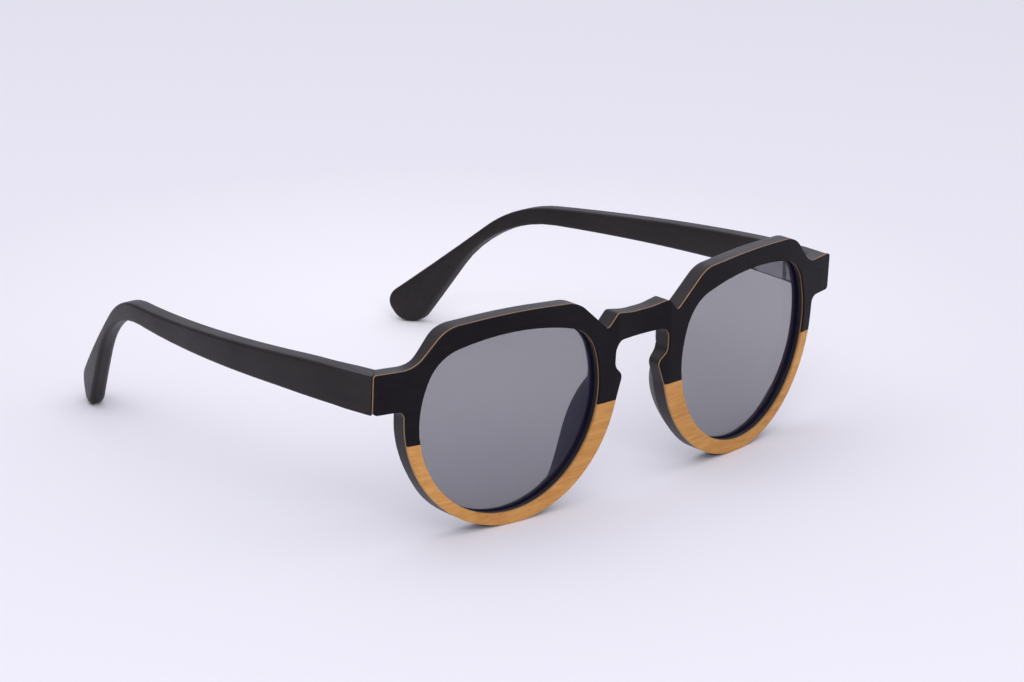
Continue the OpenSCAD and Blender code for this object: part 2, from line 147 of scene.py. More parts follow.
@dataclass
class Run:
    """Stretch of an outline, with what it takes to draw its knots in.

    knot holds the points, corner the sharp corner that each one eases, bisector the inward
    bisector there over the sine of half the angle, and radius the corner's radius.
    """

    knot: Array
    corner: Array
    bisector: Array
    radius: Array

    @classmethod
    def points(cls, p: Array) -> "Run":
        """Plain knots that ease no corner."""
        p = np.atleast_2d(p)
        return cls(p, p, np.zeros_like(p), np.full(len(p), np.inf))

    @classmethod
    def arc(cls, centre: Array, radius: float, start: float, end: float) -> "Run":
        """Round stretch about a centre, from one angle to another."""
        a = np.radians(np.linspace(start, end, max(ARC_LEAST, int(abs(end - start) / ARC_STEP) + 1)))
        return cls.points(centre + radius * np.stack([np.cos(a), np.sin(a)], -1))

    @classmethod
    def eased(cls, corners: Any, samples: int = 10) -> "Run":
        """Corners joined by straight stretches and eased by arcs.

        An arc's centre lies on the bisector, at the radius over the sine of half the angle.

        Args:
            corners: Rows of x, z and radius; the two ends stay sharp.
            samples: Knots on each arc.

        Returns:
            The run, with its two ends.
        """
        c = np.asarray(corners, float)
        a, b, d, r = c[:-2, :2], c[1:-1, :2], c[2:, :2], c[1:-1, 2:]
        u, v = unit(a - b), unit(d - b)
        half = np.arccos(np.clip((u * v).sum(1, keepdims=True), -1, 1)) / 2
        bisector = unit(u + v) / np.sin(half)
        m = b + bisector * r
        p, q = b + u * r / np.tan(half) - m, b + v * r / np.tan(half) - m
        turn = np.arctan2(p[:, 0] * q[:, 1] - p[:, 1] * q[:, 0], (p * q).sum(1))
        t = turn[:, None] * np.linspace(0, 1, samples)
        x = p[:, :1] * np.cos(t) - p[:, 1:] * np.sin(t)
        z = p[:, :1] * np.sin(t) + p[:, 1:] * np.cos(t)
        knot = (m[:, None] + np.stack([x, z], -1)).reshape(-1, 2)
        outer = np.repeat(np.where(turn < 0, r[:, 0], np.inf), samples)
        mid = cls(knot, np.repeat(b, samples, 0), np.repeat(bisector, samples, 0), outer)
        return cls.points(c[0, :2]) + mid + cls.points(c[-1, :2])

    def __add__(self, other: "Run") -> "Run":
        """This run followed by another."""
        return Run(*map(np.concatenate, zip(vars(self).values(), vars(other).values())))

    def mirrored(self) -> "Run":
        """The run across the middle plane.

        Returns:
            The run on the other side, walked backwards.
        """
        flip = np.array([-1.0, 1.0])
        knot, corner, bisector = (v[::-1] * flip for v in (self.knot, self.corner, self.bisector))
        return Run(knot, corner, bisector, self.radius[::-1])


class Loop:
    """Closed outline, walked with the material on its right, that can be drawn in by a distance."""

    def __init__(self, run: Run, step: float = 1.4) -> None:
        """Works out the outward directions and cuts long stretches up.

        Args:
            run: All of the outline's knots in order.
            step: Longest piece of a straight stretch.
        """
        far = np.linalg.norm(run.knot - np.roll(run.knot, -1, 0), axis=1) > APART
        self.knot, self.corner, self.bisector, self.radius = (v[far] for v in vars(run).values())
        edge = np.roll(self.knot, -1, 0) - self.knot
        length = np.linalg.norm(edge, axis=1)
        left = np.stack([-edge[:, 1], edge[:, 0]], -1) / length[:, None]
        self.normal = unit(left + np.roll(left, 1, 0))
        count = np.maximum(1, np.ceil(length / step)).astype(int)
        self._from = np.repeat(np.arange(len(length)), count)
        place = np.arange(count.sum()) - np.repeat(np.cumsum(count) - count, count)
        self._share = place / np.repeat(count, count)

    def spread(self, value: Array) -> Array:
        """Values at the knots carried on to every point of the loop, in a straight line between knots."""
        share = self._share.reshape((-1,) + (1,) * (value.ndim - 1))
        return value[self._from] * (1 - share) + np.roll(value, -1, 0)[self._from] * share

    def inset(self, d: Any) -> Array:
        """Points of the loop drawn in by d, where a corner tighter than d moves along its bisector.

        Args:
            d: One distance, or one for each knot.

        Returns:
            Flat points, as many for any d.
        """
        d = np.broadcast_to(np.asarray(d, float), self.radius.shape)
        tight = self.corner + self.bisector * d[:, None]
        plain = self.knot - self.normal * d[:, None]
        return self.spread(np.where(self.radius[:, None] < d[:, None], tight, plain))

    def rounded(self, r: Any, turn: float) -> Row:
        """Row of an edge of radius r after a turn a: in by r (1 - cos a), r (1 - sin a) before the face."""
        r = np.broadcast_to(np.asarray(r, float), self.radius.shape)
        return self.inset(r * (1 - math.cos(turn))), self.spread(r * (1 - math.sin(turn)))


def cap(loops: Sequence[Array], spacing: float, lines: Sequence[Array] = ()) -> tuple[Array, Array]:
    """Fills the space between loops with triangles, on an even inner grid so that a curved face stays smooth.

    A triangle is inside where a line to the right of its middle crosses the loops an odd number of times.

    Args:
        loops: Flat points of the outer loop and of any holes.
        spacing: Distance between the grid's points.
        lines: More inner points, such as those along a crease.

    Returns:
        Flat points and triangles that turn left.
    """
    edge = np.concatenate(loops)
    low, high = edge.min(0), edge.max(0)
    x, z = np.meshgrid(np.arange(low[0], high[0], spacing), np.arange(low[1], high[1], spacing * HEX_ROW))
    x[1::2] += spacing / 2
    inner = np.concatenate([np.stack([x.ravel(), z.ravel()], -1), *lines])
    near = np.sqrt(((inner[:, None] - edge[None]) ** 2).sum(-1)).min(1)
    points = np.concatenate([edge, inner[near > spacing * EDGE_ROOM]])
    ends = np.cumsum([len(l) for l in loops])
    turns = [np.arange(e - len(l), e) for l, e in zip(loops, ends)]
    pairs = np.concatenate([np.stack([i, np.roll(i, -1)], -1) for i in turns])
    found = geometry.delaunay_2d_cdt(points.tolist(), pairs.tolist(), [], 0, MERGE)
    points, faces = np.array(found[0], float), np.array(found[2], int)
    a, b = edge, edge[pairs[:, 1]]
    x, z = np.split(points[faces].mean(1), 2, axis=1)
    rise = b[:, 1] - a[:, 1]
    rise = np.where(np.abs(rise) < TINY, TINY, rise)
    right = x < a[:, 0] + (z - a[:, 1]) / rise * (b[:, 0] - a[:, 0])
    inside = (((a[:, 1] > z) != (b[:, 1] > z)) & right).sum(1) % 2 == 1
    used, faces = np.unique(faces[inside], return_inverse=True)
    return points[used], faces.reshape(-1, 3)


@dataclass
class Solid:
    """Gathers the grids and caps of one closed piece, in millimetres of the row frame."""

    points: list[Array] = field(default_factory=list)
    faces: list[list[int]] = field(default_factory=list)

    def add(self, points: Array, faces: Array) -> None:
        """Takes in points and the faces between them."""
        self.faces.extend((faces + sum(map(len, self.points))).tolist())
        self.points.append(points)

    def tube(self, rows: Array) -> None:
        """Takes in a grid of rows that each close on themselves.

        Args:
            rows: Points by row, by place in the row and by axis.
        """
        k, n, _ = rows.shape
        i, j = np.arange(k - 1)[:, None] * n, np.arange(n)[None]
        after = (j + 1) % n
        quads = np.stack([i + j, i + after, i + n + after, i + n + j], -1).reshape(-1, 4)
        self.add(rows.reshape(-1, 3), quads)

    def make(self, name: str, sharp: float) -> Object:
        """Welds the piece, turns its faces outwards and shades it smooth but for sharp edges.

        Args:
            name: Name of the object.
            sharp: Angle from which an edge shows, in degrees.

        Returns:
            The object, linked to the scene.
        """
        mesh = bpy.data.meshes.new(name)
        mesh.from_pydata((np.concatenate(self.points) * MM).tolist(), [], self.faces)
        bm = bmesh.new()
        bm.from_mesh(mesh)
        bmesh.ops.remove_doubles(bm, verts=bm.verts, dist=WELD)
        bmesh.ops.dissolve_degenerate(bm, edges=bm.edges, dist=WELD)
        bmesh.ops.recalc_face_normals(bm, faces=bm.faces)
        bm.to_mesh(mesh)
        bm.free()
        mesh.shade_smooth()
        mesh.set_sharp_from_angle(angle=math.radians(sharp))
        return linked(name, mesh)


@dataclass(frozen=True)
class Wire:
    """Shader socket that takes part in sums: each operator adds a Math node."""

    graph: "Graph"
    socket: bpy.types.NodeSocket

    def _math(self, operation: str, a: Any, b: Any) -> "Wire":
        """Math node of two values or wires."""
        return self.graph.node("ShaderNodeMath", {"operation": operation}, {0: a, 1: b})

    def __add__(self, other: Any) -> "Wire":
        """Sum."""
        return self._math("ADD", self, other)

    __radd__ = __add__

    def __sub__(self, other: Any) -> "Wire":
        """Difference."""
        return self._math("SUBTRACT", self, other)

    def __rsub__(self, other: Any) -> "Wire":
        """Difference, the other way round."""
        return self._math("SUBTRACT", other, self)

    def __mul__(self, other: Any) -> "Wire":
        """Product."""
        return self._math("MULTIPLY", self, other)

    __rmul__ = __mul__


class Graph:
    """Node tree of a material or of the world."""

    def __init__(self, tree: bpy.types.NodeTree) -> None:
        """Takes over a tree and empties it."""
        self.tree = tree
        tree.nodes.clear()

    def node(self, kind: str, settings: dict[str, Any] | None = None, inputs: dict[Any, Any] | None = None,
             output: Any = 0) -> Wire:
        """Adds a node.

        Args:
            kind: The node's type.
            settings: Attributes, or a ramp's stops, which are set first.
            inputs: Values or wires for its sockets, by name or number.
            output: Name or number of the socket that is returned.

        Returns:
            The output as a wire.
        """
        made = self.tree.nodes.new(kind)
        for key, value in (settings or {}).items():
            if key == "stops":
                ramp = made.color_ramp.elements
                while len(ramp) < len(value):
                    ramp.new(0.5)
                for stop, (place, colour) in zip(ramp, value):
                    stop.position, stop.color = place, (*colour, 1.0)
            else:
                setattr(made, key, value)
        for key, value in (inputs or {}).items():
            if isinstance(value, Wire):
                self.tree.links.new(value.socket, made.inputs[key])
            else:
                made.inputs[key].default_value = value
        return Wire(self, (made.outputs or made.inputs)[output])  # an output node has only inputs

    def mix(self, share: Any, a: Any, b: Any) -> Wire:
        """Colour between a and b, by the Mix node's colour sockets 6 and 7 and its colour output 2."""
        a, b = (c if isinstance(c, Wire) else (*c, 1.0) for c in (a, b))
        return self.node("ShaderNodeMix", {"data_type": "RGBA"}, {0: share, 6: a, 7: b}, 2)

    def noise(self, place: Wire, scale: float, detail: float, rough: float = 0.5) -> Wire:
        """Smooth noise from 0 to 1 at a place."""
        inputs = {"Vector": place, "Scale": scale, "Detail": detail, "Roughness": rough}
        return self.node("ShaderNodeTexNoise", {}, inputs, "Fac")

    def ranged(self, value: Wire, low: float, high: float) -> Wire:
        """Value stretched from low and high to 0 and 1, and held there."""
        inputs = {"Value": value, "From Min": low, "From Max": high}
        return self.node("ShaderNodeMapRange", {"clamp": True}, inputs)

    def placed(self, scale: Point = (1.0, 1.0, 1.0)) -> Wire:
        """Object coordinates stretched by a scale."""
        place = self.node("ShaderNodeTexCoord", output="Object")
        return self.node("ShaderNodeMapping", {}, {"Vector": place, "Scale": scale})

    def bump(self, height: Wire, strength: float, distance: float) -> Wire:
        """Normal that follows a height."""
        return self.node("ShaderNodeBump", {}, {"Strength": strength, "Distance": distance, "Height": height})

    def surface(self, inputs: dict[str, Any]) -> None:
        """Leads a Principled shader with these inputs to the output."""
        shader = self.node("ShaderNodeBsdfPrincipled", {}, inputs)
        self.node("ShaderNodeOutputMaterial", {}, {"Surface": shader})


@dataclass(frozen=True)
class Finish:
    """Named finish, whose paint method fills a graph."""

    name: str

    @cache
    def material(self) -> bpy.types.Material:
        """Material of this finish, made at the first call.

        Returns:
            The material, with its nodes.
        """
        material = bpy.data.materials.new(self.name)
        material.use_nodes = True
        self.paint(Graph(material.node_tree))
        return material

    def paint(self, g: Graph) -> None:
        """Fills the graph, in each kind of finish."""
        raise NotImplementedError


@dataclass(frozen=True)
class WoodFinish(Finish):
    """Satin wood with streaks, pores and a broad change of tone, all drawn out along the grain."""

    deep: Colour
    pale: Colour
    grain: Grain = Grain.ACROSS_FRONT
    rough: float = 0.42
    specular: float = 0.35
    streak_span: Span = (0.3, 0.72)
    streak_rough: float = 0.1
    pore_scale: float = 3.1
    pore_span: Span = (0.56, 0.74)
    pore_share: float = 0.35
    pore_dark: float = 0.45
    pore_rough: float = 0.08
    tone_scale: float = 70.0
    tone_span: Span = (0.32, 0.7)
    tone_share: float = 0.35
    tone_gloss: float = 0.06
    relief: float = 0.2
    relief_h: float = 0.00005

    def paint(self, g: Graph) -> None:
        """Lays the wood.

        Streaks are noise on coordinates stretched along the grain, pores the crests of a finer one, and
        the tone a slow noise on even coordinates.

        Args:
            g: Graph that is filled.
        """
        along = g.placed(self.grain.value)
        streak = g.ranged(g.noise(along, scale=1.0, detail=5.0, rough=0.62), *self.streak_span)
        fine = g.noise(along, self.pore_scale, detail=3.0, rough=0.55)
        pore = g.ranged(fine, *self.pore_span)
        tone = g.ranged(g.noise(g.placed(), self.tone_scale, detail=3.0), *self.tone_span)
        colour = g.mix(streak * (1 - self.tone_share) + tone * self.tone_share, self.deep, self.pale)
        colour = g.mix(pore * self.pore_share, colour, tuple(c * self.pore_dark for c in self.deep))
        rough = self.rough + streak * self.streak_rough - tone * self.tone_gloss + pore * self.pore_rough
        g.surface({"Base Color": colour, "Roughness": rough, "Specular IOR Level": self.specular,
                   "Normal": g.bump(fine, self.relief, self.relief_h)})


@dataclass(frozen=True)
class LensFinish(Finish):
    """Even grey tint with a clean gloss, as two faces that each pass part of the light."""

    tint: Colour
    cover: float
    rough: float = 0.03
    smear_scale: float = 90.0
    smear_rough: float = 0.03
    ior: float = 1.5

    def paint(self, g: Graph) -> None:
        """Lays the tint, with a faint smear in the gloss."""
        smear = g.noise(g.placed(), self.smear_scale, detail=2.0)
        g.surface({"Base Color": (*self.tint, 1.0), "Roughness": self.rough + smear * self.smear_rough,
                   "Alpha": self.cover, "IOR": self.ior})


@dataclass(frozen=True)
class FloorFinish(Finish):
    """Matt floor with a painted pool of light: a little paler round a soft spot."""

    tone: Colour
    # painted light: a paler tone, its middle and the distances over which it fades paint a pool of light into
    # the floor's colour
    pool_tone: Colour
    pool: Point
    pool_fade: Span = (0.03, 0.16)
    stray: float = 0.02
    stray_scale: float = 9.0
    rough: float = 0.9

    def paint(self, g: Graph) -> None:
        """Lays the tones, which mix by the distance from the middle of the painted pool of light and a slow
        noise.

        Args:
            g: Graph that is filled.
        """
        place = g.node("ShaderNodeTexCoord", output="Object")
        away = g.node("ShaderNodeVectorMath", {"operation": "DISTANCE"}, {0: place, 1: self.pool}, "Value")
        # painted light: near is 1 at the middle of the painted pool of light, where the floor takes the paler
        # tone
        near = 1 - g.ranged(away + self.stray * g.noise(place, self.stray_scale, detail=2.0), *self.pool_fade)
        g.surface({"Base Color": g.mix(near, self.tone, self.pool_tone), "Roughness": self.rough,
                   "Specular IOR Level": 0.0})


@dataclass(frozen=True)
class MetalFinish(Finish):
    """Brushed steel with fine lines."""

    deep: Colour
    pale: Colour
    rough: float = 0.3
    line_scale: Point = (9000.0, 500.0, 9000.0)
    line_rough: float = 0.14
    dull_scale: float = 420.0
    dull_span: Span = (0.35, 0.7)
    dull_share: float = 0.4
    dull_rough: float = 0.08
    relief: float = 0.12
    relief_h: float = 0.00002

    def paint(self, g: Graph) -> None:
        """Lays the steel: lines are noise stretched along Y, and the dullness a slow even noise.

        Args:
            g: Graph that is filled.
        """
        line = g.noise(g.placed(self.line_scale), scale=1.0, detail=3.0)
        dull = g.ranged(g.noise(g.placed(), self.dull_scale, detail=3.0), *self.dull_span)
        colour = g.mix(line * (1 - self.dull_share) + dull * self.dull_share, self.deep, self.pale)
        rough = self.rough + line * self.line_rough + dull * self.dull_rough
        g.surface({"Base Color": colour, "Metallic": 1.0, "Roughness": rough,
                   "Normal": g.bump(line, self.relief, self.relief_h)})


DARK = WoodFinish("dark_wood", (0.0083, 0.0062, 0.0074), (0.0225, 0.0165, 0.0190))
BROW = WoodFinish("dark_veneer", (0.0052, 0.0043, 0.0056), (0.0122, 0.0098, 0.0122), rough=0.45, specular=0.08)
TAN = WoodFinish("tan_veneer", (0.27, 0.155, 0.07), (0.41, 0.25, 0.12), rough=0.55, specular=0.3)
HONEY = WoodFinish("honey_veneer", (0.472, 0.200, 0.045), (0.745, 0.386, 0.117), rough=0.5, specular=0.25)
ARM = WoodFinish("temple_wood", (0.0072, 0.0052, 0.0062), (0.0205, 0.0145, 0.0165), Grain.ALONG_TEMPLE,
                 rough=0.44, specular=0.28)
SMOKE = LensFinish("smoke_lens", (0.0125, 0.012, 0.04), cover=0.465)
PLATE = MetalFinish("hinge_steel", (0.36, 0.36, 0.37), (0.62, 0.62, 0.64))
SCREW = MetalFinish("screw_steel", (0.45, 0.44, 0.43), (0.72, 0.71, 0.70), rough=0.24)
# the floor's second tone and the point after it paint a pool of light into its colour
FLOOR = FloorFinish("pale_floor", (0.845, 0.835, 0.875), (0.945, 0.935, 0.955), (0.075, 0.07, 0.0))


def dress(obj: Object, finish: Finish, body: str, node: str) -> None:
    """Gives a piece what it needs to ride along.

    Args:
        obj: The piece.
        finish: Its finish.
        body: Body that it rides on.
        node: Node that it stands for.
    """
    obj.data.materials.append(finish.material())
    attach(obj, body)
    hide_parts(node)
    LOG.info("%s rides on %s with %d faces", obj.name, body, len(obj.data.polygons))


@dataclass
class Outline:
    """Front's outline and lens openings, seen flat from in front, as the part's source gives them."""

    front_w: float = 143.0
    bridge_top: float = 41.4
    bridge_end: Corner = (3.0, 0.0, 20.0)
    crest: Corner = (-12.5, 0.8, 1.0)
    notch: Corner = (-9.4, -0.15, 1.2)
    brow_h: float = 47.0
    brow_arch: Corner = (0.0, 1.0, 150.0)
    brow_l: float = 34.2
    brow_shift: float = 0.6
    brow_r: float = 8.0
    step: Corner = (7.4, 0.0, 7.0)
    end_top: float = 39.2
    end_h: float = 8.7
    end_top_r: float = 0.6
    end_low_r: float = 0.8
    end_root_r: float = 2.0
    keyhole_top: float = 35.9
    keyhole_half_w: float = 8.6
    keyhole_r: float = 2.6
    bump: Corner = (5.9, 5.25, 1.6)
    kink: Corner = (0.0, 2.45, 2.4)
    seam_h: float = 22.5
    bridge_gap: float = 26.0
    lens_r: float = 23.9
    lens_h: float = 40.8
    lens_top_r: float = 62.0
    lens_top_shift: float = 1.0
    lens_corner_r: float = 10.0
    rim_low: float = 2.8
    rim_side: float = 3.3
    rim_nose: float = 5.7

    def __post_init__(self) -> None:
        """Finds the circles of opening and rim, and where the seam meets the rim, half a chord to each side."""
        self.end_low = self.end_top - self.end_h
        self.lens_c = np.array([self.bridge_gap / 2 + self.lens_r, self.rim_low + self.lens_r])
        self.rim_r = self.lens_r + (self.rim_side + self.rim_nose) / 2
        self.rim_c = np.array([self.lens_c[0] + (self.rim_side - self.rim_nose) / 2, self.rim_r])
        reach = math.sqrt(self.rim_r ** 2 - (self.rim_c[1] - self.seam_h) ** 2)
        self.seam_x = self.rim_c[0] - reach, self.rim_c[0] + reach
        self.seam_turn = [bearing(np.array([x, self.seam_h]) - self.rim_c) for x in self.seam_x]

    def upper(self) -> Run:
        """Left half above the seam.

        Returns:
            The run from the bridge's top round the brow and the endpiece to the seam.
        """
        mid = self.lens_c[0] + self.brow_shift
        inner, outer = mid - self.brow_l / 2, mid + self.brow_l / 2
        end = self.front_w / 2
        root_z = self.end_low - self.end_root_r
        reach = math.sqrt((self.rim_r + self.end_root_r) ** 2 - (root_z - self.rim_c[1]) ** 2)
        root = np.array([self.rim_c[0] + reach, root_z])
        top = Run.eased([
            (0, self.bridge_top, 0), off(0, self.bridge_top, self.bridge_end),
            off(inner, self.bridge_top, self.crest), off(inner, self.end_top, self.notch),
            (inner, self.brow_h, self.brow_r), off(mid, self.brow_h, self.brow_arch),
            (outer, self.brow_h, self.brow_r), off(outer, self.end_top, self.step),
            (end, self.end_top, self.end_top_r), (end, self.end_low, self.end_low_r),
            (root[0], self.end_low, 0)])
        turn = bearing(root - self.rim_c)
        return (top + Run.arc(root, self.end_root_r, 90, 180 + turn)
                + Run.arc(self.rim_c, self.rim_r, turn, self.seam_turn[1]))

    def lower(self) -> Run:
        """Left rim from the seam on the temple side, round below, to the seam on the nose side."""
        return Run.arc(self.rim_c, self.rim_r, *self.seam_turn[::-1])

    def nose(self) -> Run:
        """Left half from the seam on the nose side up the keyhole to its arch."""
        bump = off(0, self.seam_h, self.bump)
        return Run.eased([
            (self.seam_x[0], self.seam_h, 0), bump, off(self.keyhole_half_w, bump[1], self.kink),
            (self.keyhole_half_w, self.keyhole_top, self.keyhole_r), (0, self.keyhole_top, 0)])

    def opening(self, grow: float = 0.0) -> tuple[Run, Run]:
        """Left lens opening: a circle under an arched top, with eased corners.

        Args:
            grow: How far the opening is widened.

        Returns:
            The stretches above and below the seam.
        """
        c, r, k = self.lens_c, self.lens_r, self.lens_corner_r
        top = np.array([c[0] + self.lens_top_shift, self.rim_low + self.lens_h - self.lens_top_r])
        right, left = crossings(c, r - k, top, self.lens_top_r - k)
        dip = math.degrees(math.asin((c[1] - self.seam_h) / (r + grow)))
        above = (Run.arc(c, r + grow, -dip, bearing(right - c))
                 + Run.arc(right, k + grow, bearing(right - c), bearing(right - top))
                 + Run.arc(top, self.lens_top_r + grow, bearing(right - top), bearing(left - top))
                 + Run.arc(left, k + grow, bearing(left - top), bearing(left - c))
                 + Run.arc(c, r + grow, bearing(left - c), 180 + dip))
        return above, Run.arc(c, r + grow, 180 + dip, 360 - dip)


@dataclass(frozen=True)
class Stance:
    """Thickness, wrap and lean of the front, which carry a flat outline to its place."""

    front_t: float = 4.0
    wrap_r: float = 316.0
    tilt: float = 2.6
    hinge_z: float = 34.85
    drop: float = 34.9778
    mid_y: float = 68.1986
    scoop_d: float = 0.75
    scoop_half: float = 8.3
    scoop_fade: Span = (1.0, 4.0)

    def wrap(self, x: Array, depth: Any) -> Array:
        """Distance behind the foremost line of a surface at a depth: the wrap circle's sagitta."""
        return self.wrap_r - np.sqrt((self.wrap_r - depth) ** 2 - x * x)

    def corner(self, half_w: float, depth: float) -> Array:
        """Outer end, from above, of a layer at a depth."""
        return np.array([half_w, float(self.wrap(np.array(half_w), depth))])

    def mitred(self, flat: Array, corner: Array, depth: Array) -> Array:
        """Flat points held to the mitre's half width, where x and the wrap's y add up as at the corner.

        Args:
            flat: Flat x and z.
            corner: Where the mitre starts, from above.
            depth: One depth for each point.

        Returns:
            Flat points.
        """
        k = self.wrap_r - corner.sum()
        room = np.minimum((np.sqrt(2 * (self.wrap_r - depth) ** 2 - k * k) - k) / 2, corner[0])
        return np.stack([np.clip(flat[:, 0], -room, room), flat[:, 1]], -1)

    def place(self, flat: Array, depth: Any, lift: Any = 0.0) -> Array:
        """Points of the front at a depth behind its face.

        The face follows the wrap circle, sinks into the bridge's scoop, a round hollow as deep as scoop_d
        that fades out towards the back, and leans about the hinge's height.

        Args:
            flat: Flat x and z.
            depth: One depth, or one for each point.
            lift: How far points stand behind that surface.

        Returns:
            Points of the row frame.
        """
        x, z = flat[:, 0], flat[:, 1] - self.drop
        y = self.wrap(x, depth) + lift
        rise = self.scoop_d - self.wrap(np.array(self.scoop_half), 0.0)
        r = (self.scoop_half ** 2 + rise ** 2) / (2 * rise)
        hollow = self.scoop_d - r + np.sqrt(np.maximum((r + depth) ** 2 - x * x, 0))
        y = y + np.maximum(hollow - y, 0) * (1 - smooth(np.asarray(depth, float), *self.scoop_fade))
        c, s = math.cos(math.radians(self.tilt)), math.sin(math.radians(self.tilt))
        return np.stack([x, c * y - s * z - self.mid_y, s * y + c * z + self.hinge_z], -1)


@dataclass
class Piece:
    """What is built on the front's outline and stance."""

    outline: Outline = field(default_factory=Outline)
    stance: Stance = Stance()


@dataclass
class Back(Piece):
    """Back of the front: a face that swells and a rounded edge, both less where other pieces sit.

    Each span gives two places, in x, in z or in degrees round the rim, between which one of them changes.
    """

    swell: float = 1.1
    swell_pad_x: Span = (15.0, 27.0)
    swell_pad_z: Span = (27.0, 33.0)
    swell_hinge_x: Span = (54.0, 61.0)
    edge_r: float = 1.35
    least_r: float = 0.1
    edge_pad_start: Span = (170.0, 182.0)
    edge_pad_end: Span = (236.0, 250.0)
    edge_pad_top: float = 31.0
    edge_rim_z: Span = (24.0, 34.0)
    edge_rim_cut: float = 0.6
    edge_bridge_x: Span = (9.0, 14.0)
    edge_bridge_cut: float = 0.4
    edge_end_x: Span = (61.0, 66.0)

    def depth(self, flat: Array, share: float = 1.0) -> Array:
        """Depth of the back: the thickness and a share of the swell, which fades at hinges and beside pads.

        Args:
            flat: Flat x and z.
            share: Share of the swell.

        Returns:
            One depth for each point.
        """
        x, z = np.abs(flat[:, 0]), flat[:, 1]
        beside_pad = (1 - smooth(x, *self.swell_pad_x)) * (1 - smooth(z, *self.swell_pad_z))
        swell = self.swell * share * (1 - smooth(x, *self.swell_hinge_x)) * (1 - beside_pad)
        return self.stance.front_t + swell

    def radius(self, loop: Loop) -> Array:
        """Radius of the back edge, least at endpieces and pads, and cut at the bridge and low on the rims.

        Args:
            loop: The front's outline.

        Returns:
            One radius for each knot.
        """
        x, z = np.abs(loop.knot[:, 0]), loop.knot[:, 1]
        c = self.outline.rim_c
        angle = np.degrees(np.arctan2(z - c[1], x - c[0])) % 360
        pad = smooth(angle, *self.edge_pad_start) * (1 - smooth(angle, *self.edge_pad_end))
        pad = pad * (z < self.edge_pad_top)
        bridge = 1 - self.edge_bridge_cut * (1 - smooth(x, *self.edge_bridge_x))
        rim = 1 - self.edge_rim_cut * (1 - smooth(z, *self.edge_rim_z))
        return self.least_r + self.edge_r * (1 - pad) * (1 - smooth(x, *self.edge_end_x)) * bridge * rim


